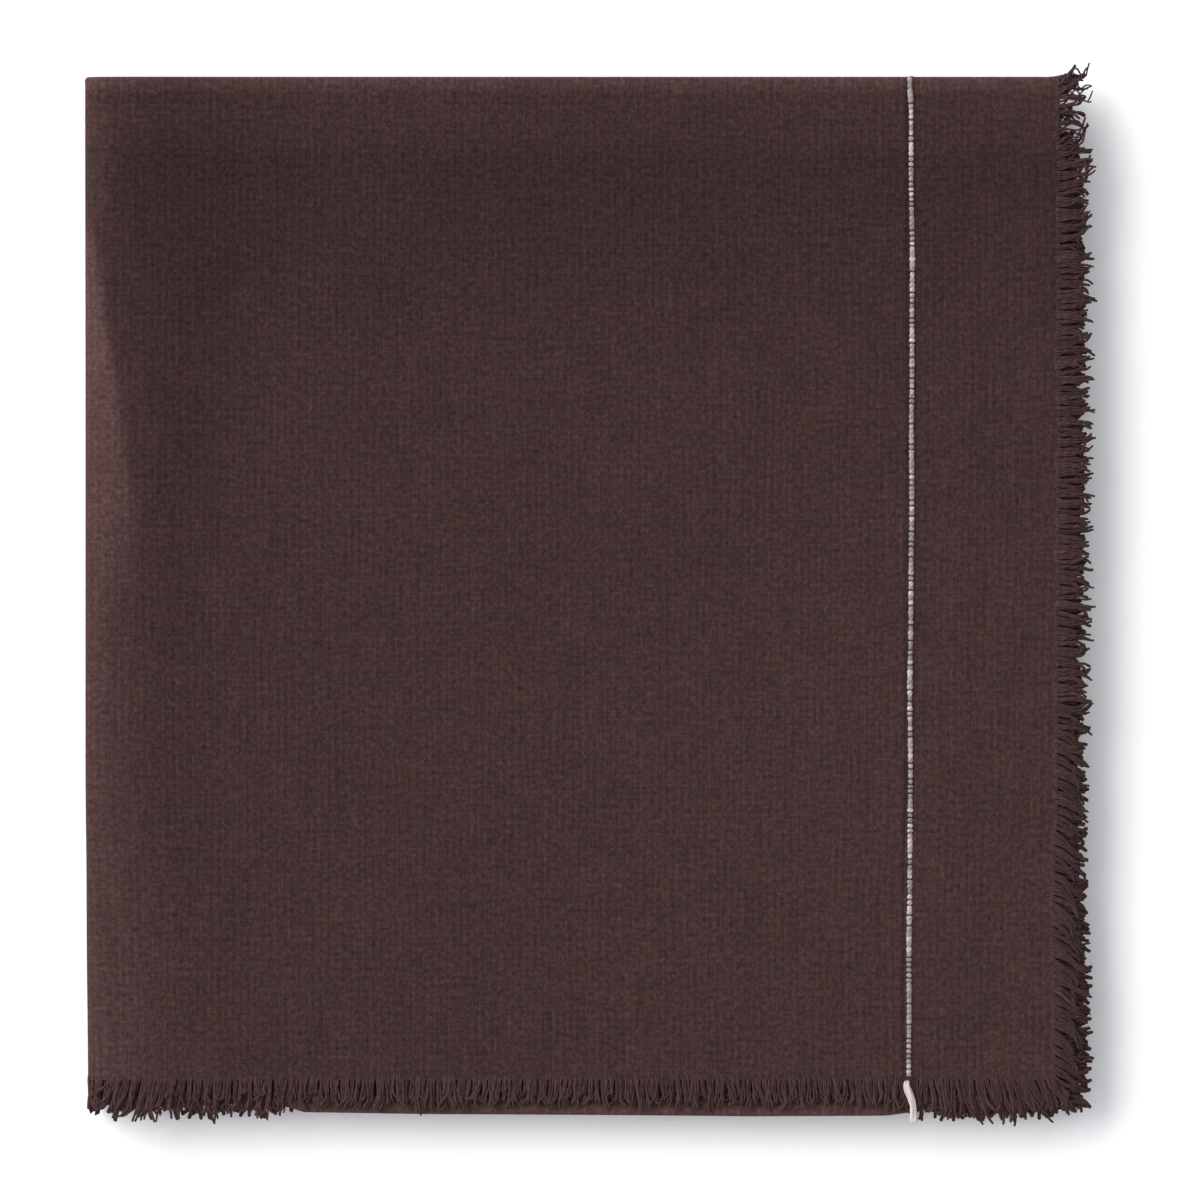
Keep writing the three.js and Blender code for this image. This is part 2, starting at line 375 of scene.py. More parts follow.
KNOTS = [-180, -174, -168, -160, -150, -140, -130]
KNOTS = KNOTS + list(range(-120, 121, 20)) + [-k for k in KNOTS[::-1]]
SIDE_S = steps(SIDE, SIDE_FOLDS, KNOTS, 3.3, (20, 12, 8))
END_S = steps(END, END_FOLDS, KNOTS, 3.3, (12, 6, 8))


def share(stations, line, weights):
    """Stations to 0..1 for the baking layout, with most room for the parts that show."""
    runs = line.parts
    edges, total = [0.0], [0.0]
    for p, w in zip(runs, weights):
        edges.append(p[2])
        total.append(total[-1] + w)
    return np.interp(stations, edges, np.array(total) / total[-1])


# ---------------------------------------------------------------- materials
def nodes_of(name):
    mat = bpy.data.materials.new(name)
    mat.use_nodes = True
    tree = mat.node_tree
    tree.nodes.clear()
    out = tree.nodes.new("ShaderNodeOutputMaterial")
    shader = tree.nodes.new("ShaderNodeBsdfPrincipled")
    tree.links.new(shader.outputs[0], out.inputs[0])
    return mat, tree, shader


class Graph:
    """Short names for node making."""

    def __init__(self, tree):
        self.tree = tree

    def put(self, socket, value):
        if isinstance(value, bpy.types.NodeSocket):
            self.tree.links.new(value, socket)
        else:
            socket.default_value = value

    def math(self, op, a, b=0.0, c=0.0, clamp=False):
        n = self.tree.nodes.new("ShaderNodeMath")
        n.operation = op
        n.use_clamp = clamp
        for socket, value in zip(n.inputs, (a, b, c)):
            self.put(socket, value)
        return n.outputs[0]

    def noise(self, vector, scale, detail=2.0, rough=0.5):
        n = self.tree.nodes.new("ShaderNodeTexNoise")
        n.inputs["Scale"].default_value = scale
        n.inputs["Detail"].default_value = detail
        n.inputs["Roughness"].default_value = rough
        self.put(n.inputs["Vector"], vector)
        return n.outputs["Fac"]

    def xyz(self, x, y, z=0.0):
        n = self.tree.nodes.new("ShaderNodeCombineXYZ")
        for socket, value in zip(n.inputs, (x, y, z)):
            self.put(socket, value)
        return n.outputs[0]

    def uv(self, name):
        n = self.tree.nodes.new("ShaderNodeUVMap")
        n.uv_map = name
        s = self.tree.nodes.new("ShaderNodeSeparateXYZ")
        self.tree.links.new(n.outputs[0], s.inputs[0])
        return n.outputs[0], s.outputs[0], s.outputs[1]

    def attribute(self, name):
        n = self.tree.nodes.new("ShaderNodeAttribute")
        n.attribute_name = name
        return n.outputs["Fac"]

    def place(self):
        return self.tree.nodes.new("ShaderNodeTexCoord").outputs["Object"]

    def mix(self, fac, a, b, blend="MIX"):
        n = self.tree.nodes.new("ShaderNodeMix")
        n.data_type = "RGBA"
        n.blend_type = blend
        self.put(n.inputs[0], fac)
        self.put(n.inputs[6], a)
        self.put(n.inputs[7], b)
        return n.outputs[2]

    def bump(self, height, strength, distance):
        n = self.tree.nodes.new("ShaderNodeBump")
        n.inputs["Strength"].default_value = strength
        n.inputs["Distance"].default_value = distance
        self.put(n.inputs["Height"], height)
        return n.outputs[0]

    def soft(self, value, low, high):
        """1 below low, 0 above high, with a soft change between."""
        n = self.tree.nodes.new("ShaderNodeMapRange")
        n.interpolation_type = "SMOOTHSTEP"
        for socket, v in zip(n.inputs, (value, low, high, 1.0, 0.0)):
            self.put(socket, v)
        return n.outputs[0]

    def spread(self, value, low, high, to_low, to_high):
        n = self.tree.nodes.new("ShaderNodeMapRange")
        for socket, v in zip(n.inputs, (value, low, high, to_low, to_high)):
            self.put(socket, v)
        return n.outputs[0]


BROWN_WARM = (0.0378, 0.0203, 0.0190)
BROWN_COOL = (0.0365, 0.0200, 0.0203)
CREAM = (0.60, 0.515, 0.48)


FOLD_U = (SIDE.parts[1][1] + SIDE.parts[1][2]) / 2000  # the middle of the upper side fold, on the flat cloth
FOLD_V = (END.parts[1][1] + END.parts[1][2]) / 2000
LOW_FOLD_V = (END.parts[3][1] + END.parts[3][2]) / 2000
CREASE_U, CREASE_V = 0.3422, 0.2465  # a point of the slanting crease


def grey(g, value):
    """A grey colour from a number."""
    n = g.tree.nodes.new("ShaderNodeCombineColor")
    for s in n.inputs:
        g.put(s, value)
    return n.outputs[0]


def cloth_material():
    mat, tree, shader = nodes_of("brown_cloth")
    g = Graph(tree)
    _, U, V = g.uv("weave")  # metres of the flat cloth
    where = g.place()
    # The yarns aren't quite straight or even.
    sway = g.noise(g.xyz(U, V), 60.0, 2.0)
    sway2 = g.noise(g.xyz(V, U, 3.0), 90.0, 2.0)
    a = g.math("DIVIDE", g.math("MULTIPLY_ADD", sway, 0.0011, U), PICK / 1000)
    b = g.math("DIVIDE", g.math("MULTIPLY_ADD", sway2, 0.0011, V), PICK / 1000)
    ia, ib = g.math("FLOOR", a), g.math("FLOOR", b)
    fa = g.math("SUBTRACT", g.math("SUBTRACT", a, ia), 0.5)
    fb = g.math("SUBTRACT", g.math("SUBTRACT", b, ib), 0.5)
    parity = g.math("MODULO", g.math("ABSOLUTE", g.math("ADD", ia, ib)), 2.0)
    ca = g.math("COSINE", g.math("MULTIPLY", fa, math.pi))
    cb = g.math("COSINE", g.math("MULTIPLY", fb, math.pi))
    # The yarn along the cloth's length on top, or the one across
    long_up = g.math("MULTIPLY", ca, g.math("MULTIPLY_ADD", cb, 0.45, 0.62))
    cross_up = g.math("MULTIPLY", cb, g.math("MULTIPLY_ADD", ca, 0.45, 0.50))
    weave = g.math(
        "ADD",
        g.math("MULTIPLY", long_up, g.math("SUBTRACT", 1.0, parity)),
        g.math("MULTIPLY", cross_up, parity),
    )
    # Uneven yarns: each has its own thickness and tone, slowly changing along it.
    long_yarn = g.noise(g.xyz(g.math("MULTIPLY", ia, 0.73), g.math("MULTIPLY", V, 26.0)), 1.0, 1.0)
    cross_yarn = g.noise(g.xyz(g.math("MULTIPLY", U, 30.0), g.math("MULTIPLY", ib, 0.71), 7.0), 1.0, 1.0)
    fuzz = g.noise(where, 2600.0, 2.0, 0.6)
    lint = g.noise(g.xyz(g.math("MULTIPLY", U, 3.2), V), 420.0, 2.0, 0.6)
    patch = g.noise(where, 95.0, 3.0, 0.55)
    broad = g.noise(where, 14.0, 2.0, 0.5)
    # Ribs, a little wider or narrower from place to place, and slubs in the yarn
    drift = g.noise(g.xyz(g.math("MULTIPLY", U, 1.0), g.math("MULTIPLY", V, 0.35), 11.0), 42.0, 2.0)
    rib = g.math("MULTIPLY_ADD", drift, 0.0030, U)
    rib = g.math("COSINE", g.math("MULTIPLY", rib, 2 * math.pi * 1000 / RIB))
    strong = g.noise(g.xyz(g.math("MULTIPLY", U, 1.6), V, 5.0), 75.0, 2.0)
    rib = g.math("MULTIPLY", rib, g.spread(strong, 0.35, 0.65, 0.25, 1.6))
    mottle = g.noise(g.xyz(g.math("MULTIPLY", U, 1.45), V, 2.0), 560.0, 2.0, 0.55)
    mottle2 = g.noise(g.xyz(U, g.math("MULTIPLY", V, 2.2), 8.0), 300.0, 2.0, 0.55)
    height = g.math("MULTIPLY_ADD", long_yarn, 0.8, weave)
    height = g.math("MULTIPLY_ADD", cross_yarn, 0.55, height)
    height = g.math("MULTIPLY_ADD", fuzz, 0.5, height)
    height = g.math("MULTIPLY_ADD", mottle, 2.2, height)
    height = g.math("MULTIPLY_ADD", rib, 0.22, height)
    # Painted shade: the colour is darker where the weave lies low between its yarns and in the low lines between the
    # ribs.
    tone = g.spread(weave, 0.0, 0.9, 0.92, 1.04)
    tone = g.math("MULTIPLY", tone, g.math("MULTIPLY_ADD", rib, 0.060, 1.0))
    tone = g.math("MULTIPLY", tone, g.spread(long_yarn, 0.3, 0.7, 0.93, 1.07))
    tone = g.math("MULTIPLY", tone, g.spread(cross_yarn, 0.3, 0.7, 0.94, 1.06))
    tone = g.math("MULTIPLY", tone, g.spread(fuzz, 0.3, 0.7, 0.96, 1.04))
    tone = g.math("MULTIPLY", tone, g.spread(mottle, 0.3, 0.7, 0.72, 1.28))
    tone = g.math("MULTIPLY", tone, g.spread(mottle2, 0.3, 0.7, 0.81, 1.19))
    tone = g.math("MULTIPLY", tone, g.spread(lint, 0.3, 0.7, 0.94, 1.06))
    tone = g.math("MULTIPLY", tone, g.spread(patch, 0.3, 0.7, 0.94, 1.06))
    tone = g.math("MULTIPLY", tone, g.spread(broad, 0.3, 0.7, 0.97, 1.03))
    # Painted highlight and painted shade: bands along the folds and the lower fold's edge are painted lighter, and
    # bands further in painted darker, in place of the light and shade on the pack's folded edges.
    ragged = g.math("MULTIPLY_ADD", g.noise(where, 34.0, 3.0, 0.6), 0.012, -0.006)
    from_end = g.math("ABSOLUTE", g.math("ADD", g.math("SUBTRACT", V, FOLD_V), ragged))
    from_side = g.math("ABSOLUTE", g.math("ADD", g.math("SUBTRACT", U, FOLD_U), ragged))
    at_fold = g.math("ABSOLUTE", g.math("SUBTRACT", V, FOLD_V))
    at_low_fold = g.math("ABSOLUTE", g.math("SUBTRACT", V, LOW_FOLD_V))
    upper_part = g.soft(V, 0.285, 0.17)
    lower_part = g.math("MULTIPLY", g.soft(V, 0.015, 0.12), g.soft(g.math("MULTIPLY", from_side, -1.0), -0.016, -0.008))
    for inside, edge, width, gain, where_else in (
        (at_fold, 0.0052, 0.0062, 0.55, None),
        (at_low_fold, 0.0035, 0.0030, 0.75, None),
        (from_end, 0.0275, 0.005, 0.09, None),
        (from_end, 0.085, 0.055, -0.12, None),
        (from_end, 0.170, 0.160, -0.06, None),
        (from_side, 0.020, 0.010, 0.060, None),
        (from_side, 0.060, 0.040, -0.06, upper_part),
        (from_side, 0.038, 0.036, 0.22, lower_part),
        (from_side, 0.26, 0.18, -0.035, None),
    ):
        near = g.soft(inside, edge - width / 2, edge + width / 2)
        if where_else is not None:
            near = g.math("MULTIPLY", near, where_else)
        tone = g.math("MULTIPLY", tone, g.math("MULTIPLY_ADD", near, gain, 1.0))
    # A pressed crease runs slanting over the side fold, and outside it the colour is painted lighter: a painted
    # highlight on the fold's rounded side.
    past = g.math("SUBTRACT", U, g.math("MULTIPLY_ADD", g.math("SUBTRACT", V, CREASE_V), 0.125, CREASE_U))
    past = g.math("ADD", past, g.math("MULTIPLY", ragged, 0.18))
    painted_crease_highlight = g.math("SUBTRACT", 1.0, g.soft(past, -0.0030, 0.0012))
    painted_crease_highlight = g.math("MULTIPLY", painted_crease_highlight, g.soft(U, CREASE_U + 0.011, CREASE_U + 0.019))
    painted_crease_highlight = g.math("MULTIPLY", painted_crease_highlight, g.soft(V, CREASE_V + 0.052, CREASE_V + 0.070))
    painted_crease_highlight = g.math("MULTIPLY", painted_crease_highlight, g.spread(V, CREASE_V - 0.075, CREASE_V + 0.040, 0.0, 0.72))
    tone = g.math("MULTIPLY", tone, g.math("ADD", painted_crease_highlight, 1.0))
    # The cloth is drawn down beside the stripe's thick yarn: the groove dips in the bump, and its colour is darkened
    # there as painted shade.
    beside = g.math("ABSOLUTE", g.math("SUBTRACT", U, STRIPE_IN / 1000))
    groove_and_painted_shade = g.math("SUBTRACT", 1.0, g.math("DIVIDE", g.math("ABSOLUTE", g.math("SUBTRACT", beside, 0.0015)), 0.0008), clamp=True)
    tone = g.math("MULTIPLY", tone, g.math("MULTIPLY_ADD", groove_and_painted_shade, -0.38, 1.0))
    height = g.math("MULTIPLY_ADD", groove_and_painted_shade, -1.3, height)
    hue = g.mix(g.spread(g.noise(where, 160.0, 2.0), 0.35, 0.65, 0.0, 1.0), (*BROWN_WARM, 1), (*BROWN_COOL, 1))
    colour = g.mix(1.0, hue, grey(g, tone), "MULTIPLY")
    g.put(shader.inputs["Base Color"], colour)
    shader.inputs["Roughness"].default_value = 0.92
    shader.inputs["Specular IOR Level"].default_value = 0.02
    shader.inputs["Sheen Weight"].default_value = 0.05
    shader.inputs["Sheen Roughness"].default_value = 0.45
    shader.inputs["Sheen Tint"].default_value = (0.62, 0.47, 0.45, 1)
    g.put(shader.inputs["Normal"], g.bump(height, 0.45, 0.00028))
    return mat


def strand_material():
    mat, tree, shader = nodes_of("brown_yarn")
    g = Graph(tree)
    _, around, along = g.uv("yarn")
    tone = g.attribute("tone")
    ply = g.math("SINE", g.math("MULTIPLY", g.math("ADD", g.math("MULTIPLY", around, 2.0), along), 2 * math.pi))
    fuzz = g.noise(g.place(), 1500.0, 3.0, 0.6)
    # Painted shade: the colour follows the ply twist and is darker in its grooves.
    value = g.math("MULTIPLY", g.spread(ply, -1.0, 1.0, 0.90, 1.06), g.spread(fuzz, 0.3, 0.7, 0.80, 1.20))
    value = g.math("MULTIPLY", value, tone)
    hue = g.mix(g.spread(g.noise(g.place(), 300.0, 2.0), 0.35, 0.65, 0.0, 1.0), (*BROWN_WARM, 1), (*BROWN_COOL, 1))
    g.put(shader.inputs["Base Color"], g.mix(1.0, hue, grey(g, value), "MULTIPLY"))
    shader.inputs["Roughness"].default_value = 0.92
    shader.inputs["Specular IOR Level"].default_value = 0.03
    shader.inputs["Sheen Weight"].default_value = 0.06
    shader.inputs["Sheen Roughness"].default_value = 0.45
    shader.inputs["Sheen Tint"].default_value = (0.62, 0.47, 0.45, 1)
    height = g.math("MULTIPLY_ADD", fuzz, 1.2, ply)
    g.put(shader.inputs["Normal"], g.bump(height, 0.6, 0.00018))
    return mat


def cream_material():
    mat, tree, shader = nodes_of("cream_yarn")
    g = Graph(tree)
    _, around, along = g.uv("yarn")
    tone = g.attribute("tone")
    ply = g.math("SINE", g.math("MULTIPLY", g.math("ADD", g.math("MULTIPLY", around, 3.0), along), 2 * math.pi))
    fuzz = g.noise(g.place(), 1800.0, 3.0, 0.6)
    # Painted shade: the colour follows the ply twist and is darker in its grooves.
    value = g.math("MULTIPLY", g.spread(ply, -1.0, 1.0, 0.90, 1.05), g.spread(fuzz, 0.3, 0.7, 0.90, 1.08))
    value = g.math("MULTIPLY", value, tone)
    g.put(shader.inputs["Base Color"], g.mix(1.0, (*CREAM, 1), grey(g, value), "MULTIPLY"))
    shader.inputs["Roughness"].default_value = 0.88
    shader.inputs["Specular IOR Level"].default_value = 0.3
    shader.inputs["Sheen Weight"].default_value = 0.10
    shader.inputs["Sheen Roughness"].default_value = 0.5
    height = g.math("MULTIPLY_ADD", fuzz, 1.0, ply)
    g.put(shader.inputs["Normal"], g.bump(height, 0.5, 0.00015))
    return mat


CLOTH_MAT, STRAND_MAT, CREAM_MAT = cloth_material(), strand_material(), cream_material()


# ---------------------------------------------------------------- the cloth
def build_cloth():
    ns, ne = len(SIDE_S), len(END_S)
    S, E = np.meshgrid(SIDE_S, END_S, indexing="ij")
    front = on_cloth(S, E, SHEET / 2)
    back = on_cloth(S, E, -SHEET / 2)
    verts = [front.reshape(-1, 3), back.reshape(-1, 3)]
    index = np.arange(ns * ne).reshape(ns, ne)
    faces, weave, bake = [], [], []
    bu = share(SIDE_S, SIDE, (0.44, 0.04, 0.22, 0.01, 0.14, 0.01, 0.14))
    bv = share(END_S, END, (0.60, 0.02, 0.13, 0.005, 0.12, 0.005, 0.12))
    BU, BV = np.meshgrid(bu, bv, indexing="ij")

    def quads(grid):
        a, b, c, d = grid[:-1, :-1], grid[1:, :-1], grid[1:, 1:], grid[:-1, 1:]
        return np.stack([a, b, c, d], -1).reshape(-1, 4)

    q = quads(index)
    flat = np.stack([S.ravel(), E.ravel()], -1) / 1000
    face_bake = np.stack([0.002 + 0.996 * BU.ravel(), 0.002 + 0.858 * BV.ravel()], -1)
    back_bake = np.stack([0.002 + 0.996 * BU.ravel(), 0.885 + 0.112 * BV.ravel()], -1)
    faces.append(q)
    weave.append(flat[q])
    bake.append(face_bake[q])
    r = q[:, ::-1]
    faces.append(r + ns * ne)
    weave.append(flat[r])
    bake.append(back_bake[r])

    # The four cut edges, rounded over a middle row that stands out a little
    count = 2 * ns * ne
    sides = [
        (index[0, :], (-0.30, 0.0), 0),
        (index[-1, :], (0.30, 0.0), 1),
        (index[:, 0], (0.0, -0.30), 2),
        (index[:, -1], (0.0, 0.30), 3),
    ]
    for line, (ds, de), k in sides:
        s, e = S.ravel()[line] + ds, E.ravel()[line] + de
        verts.append(on_cloth(s, e, 0.0))
        middle = count + np.arange(len(line))
        count += len(line)
        along = np.linspace(0.002, 0.998, len(line))
        band = 0.8625 + 0.005 * k
        for i, (lo, hi) in enumerate(((line, middle), (middle, line + ns * ne))):
            f = np.stack([lo[:-1], lo[1:], hi[1:], hi[:-1]], -1)
            v0, v1 = band + 0.002 * i, band + 0.002 * (i + 1)
            corner = np.stack(
                [
                    np.stack([along[:-1], np.full(len(f), v0)], -1),
                    np.stack([along[1:], np.full(len(f), v0)], -1),
                    np.stack([along[1:], np.full(len(f), v1)], -1),
                    np.stack([along[:-1], np.full(len(f), v1)], -1),
                ],
                1,
            )
            here = np.stack([s, e], -1) / 1000
            w = np.stack([here[:-1], here[1:], here[1:], here[:-1]], 1)
            if k in (0, 3):
                f, corner, w = f[:, ::-1], corner[:, ::-1], w[:, ::-1]
            faces.append(f)
            weave.append(w)
            bake.append(corner)
    verts = np.concatenate(verts)
    faces = np.concatenate(faces)
    # Turn the whole surface so that it looks outward.
    p = verts[faces]
    volume = np.einsum("ij,ij->i", p[:, 0], np.cross(p[:, 1], p[:, 2])).sum()
    volume += np.einsum("ij,ij->i", p[:, 0], np.cross(p[:, 2], p[:, 3])).sum()
    weave, bake = np.concatenate(weave), np.concatenate(bake)
    if volume < 0:
        faces, weave, bake = faces[:, ::-1], weave[:, ::-1], bake[:, ::-1]
    return new_object(
        "folded_cloth",
        verts,
        faces,
        {"weave": weave.reshape(-1, 2), "OFBake": bake.reshape(-1, 2)},
        CLOTH_MAT,
    )


cloth = build_cloth()


# ---------------------------------------------------------------- yarns
class Yarns:
    """Collects closed tubes of many yarns in one mesh."""

    def __init__(self, cells):
        self.verts, self.faces, self.yarn, self.cells, self.tone = [], [], [], [], []
        self.count, self.made = 0, 0
        self.columns = math.ceil(math.sqrt(cells / 3.0))
        self.rows = math.ceil(cells / self.columns)

    def add(self, path, up, radius, sides, twist, phase, tone, flat=1.0, lobes=0.16):
        """path, up: yarns x points x 3; radius: yarns x points; twist: turns a millimetre."""
        K, n = path.shape[:2]
        T = np.gradient(path, axis=1)
        T /= np.linalg.norm(T, axis=2, keepdims=True) + 1e-12
        N = up - (up * T).sum(2, keepdims=True) * T
        N /= np.linalg.norm(N, axis=2, keepdims=True) + 1e-12
        B = np.cross(T, N)
        d = np.linalg.norm(np.diff(path, axis=1), axis=2)
        along = np.concatenate([np.zeros((K, 1)), np.cumsum(d, 1)], 1)
        turn = 2 * math.pi * (along * twist + phase[:, None])
        th = np.arange(sides) * 2 * math.pi / sides
        r = radius[:, :, None] * (1 + lobes * np.cos(2 * (th[None, None, :] - turn[:, :, None])))
        ring = (
            path[:, :, None, :]
            + N[:, :, None, :] * (r * np.cos(th) * flat)[..., None]
            + B[:, :, None, :] * (r * np.sin(th))[..., None]
        )
        first = path[:, :1] - T[:, :1] * radius[:, :1, None] * 0.5
        last = path[:, -1:] + T[:, -1:] * radius[:, -1:, None] * 0.6
        block = np.concatenate([ring.reshape(K, -1, 3), first, last], 1)
        size = n * sides + 2
        base = self.count + np.arange(K) * size
        i, j = np.meshgrid(np.arange(n - 1), np.arange(sides), indexing="ij")
        i, j = i.ravel(), j.ravel()
        k = (j + 1) % sides
        quad = np.stack([i * sides + j, i * sides + k, (i + 1) * sides + k, (i + 1) * sides + j], -1)
        quv = np.stack(
            [
                np.stack([j / sides, i / (n - 1)], -1),
                np.stack([(j + 1) / sides, i / (n - 1)], -1),
                np.stack([(j + 1) / sides, (i + 1) / (n - 1)], -1),
                np.stack([j / sides, (i + 1) / (n - 1)], -1),
            ],
            1,
        )
        j = np.arange(sides)
        k = (j + 1) % sides
        start = np.full(sides, n * sides)
        end = np.full(sides, n * sides + 1)
        cap_a = np.stack([start, k, j, start], -1)
        cap_b = np.stack([end, (n - 1) * sides + j, (n - 1) * sides + k, end], -1)
        tri = np.concatenate([cap_a, cap_b])[:, :3]
        tuv = np.concatenate(
            [
                np.stack([np.stack([(j + 0.5) / sides, j * 0 - 0.04], -1), np.stack([(j + 1) / sides, j * 0.0], -1), np.stack([j / sides, j * 0.0], -1)], 1),
                np.stack([np.stack([(j + 0.5) / sides, j * 0 + 1.04], -1), np.stack([j / sides, j * 0 + 1.0], -1), np.stack([(j + 1) / sides, j * 0 + 1.0], -1)], 1),
            ]
        )
        self.verts.append(block.reshape(-1, 3))
        self.tone.append(np.repeat(tone, size))
        quads = (quad[None] + base[:, None, None]).reshape(-1, 4)
        tris = (tri[None] + base[:, None, None]).reshape(-1, 3)
        cell = self.made + np.arange(K)
        cx, cy = (cell % self.columns) / self.columns, (cell // self.columns) / self.rows
        length = along[:, -1]

        def maps(uv):
            m = uv.shape[1]
            full = np.broadcast_to(uv[None], (K, *uv.shape))
            yarn = np.stack([full[..., 0], full[..., 1] * (length * twist)[:, None, None]], -1)
            bake = np.stack(
                [
                    cx[:, None, None] + (0.06 + 0.88 * full[..., 0]) / self.columns,
                    cy[:, None, None] + (0.08 + 0.84 * full[..., 1]) / self.rows,
                ],
                -1,
            )
            return yarn.reshape(-1, 2), bake.reshape(-1, 2), m

        self.faces += quads.tolist() + tris.tolist()
        for uv in (quv, tuv):
            y, b, _ = maps(uv)
            self.yarn.append(y)
            self.cells.append(b)
        self.count += K * size
        self.made += K

    def object(self, name, material):
        verts = np.concatenate(self.verts)
        verts[:, 2] = np.maximum(verts[:, 2], 0.03)
        mesh = bpy.data.meshes.new(name)
        mesh.from_pydata((verts * 0.001).tolist(), [], self.faces)
        for key, uv in (("yarn", self.yarn), ("OFBake", self.cells)):
            layer = mesh.uv_layers.new(name=key)
            layer.data.foreach_set("uv", np.concatenate(uv).astype(np.float32).ravel())
        a = mesh.attributes.new("tone", "FLOAT", "POINT")
        a.data.foreach_set("value", np.concatenate(self.tone).astype(np.float32))
        mesh.polygons.foreach_set("use_smooth", np.ones(len(mesh.polygons), bool))
        mesh.materials.append(material)
        mesh.update()
        obj = bpy.data.objects.new(name, mesh)
        bpy.context.scene.collection.objects.link(obj)
        return obj


# ---------------------------------------------------------------- the fringe
# By y along the open side: lean at the root and at the tip in degrees (towards the folded end is +), mean length
SIDE_LAY = [
    (-176, -18, -42, 12.4),
    (-150, -18, -46, 13.0),
    (-90, -14, -46, 12.9),
    (-50, -6, -34, 12.1),
    (-36, -2, -14, 11.8),
    (0, 0, -4, 11.7),
    (120, 0, 4, 11.8),
    (160, 4, 10, 12.8),
    (187, 10, 22, 13.6),
]
SIDE_LAY_LOW = [
    (-176, -6, -14, 11.2),
    (-150, -6, -16, 11.2),
    (-112, -6, -18, 10.8),
    (-60, -6, -18, 8.4),
    (-36, 0, -8, 7.4),
    (0, 0, -3, 7.0),
    (120, 0, 3, 7.2),
    (187, 6, 12, 7.6),
]
# By x along the open end: lean at the root and at the tip in degrees (towards the open side is +), mean length,
# and how uneven the lengths are
END_LAY = [
    (-182, -16, -36, 11.6, 0.12),
    (-172, -12, -24, 12.4, 0.18),
    (-150, -6, -12, 12.6, 0.22),
    (-112, -4, -7, 12.2, 0.22),
    (-100, -3, -5, 10.7, 0.09),
    (0, 0, -2, 10.4, 0.08),
    (80, 1, 2, 10.4, 0.08),
    (108, 2, 6, 11.0, 0.08),
    (124, 3, 12, 14.0, 0.12),
    (150, 8, 22, 14.8, 0.12),
    (165, 16, 32, 14.0, 0.12),
    (172, 20, 40, 13.2, 0.12),
]


def tidy_groups(K, rng):
    """Neighbouring strands lean together in groups of one to four: for each strand, its place in the group."""
    out = np.zeros(K)
    k = 0
    while k < K:
        size = int(rng.choice([1, 2, 3, 4], p=[0.25, 0.35, 0.25, 0.15]))
        size = min(size, K - k)
        out[k : k + size] = (size - 1) / 2 - np.arange(size)
        k += size
    return out


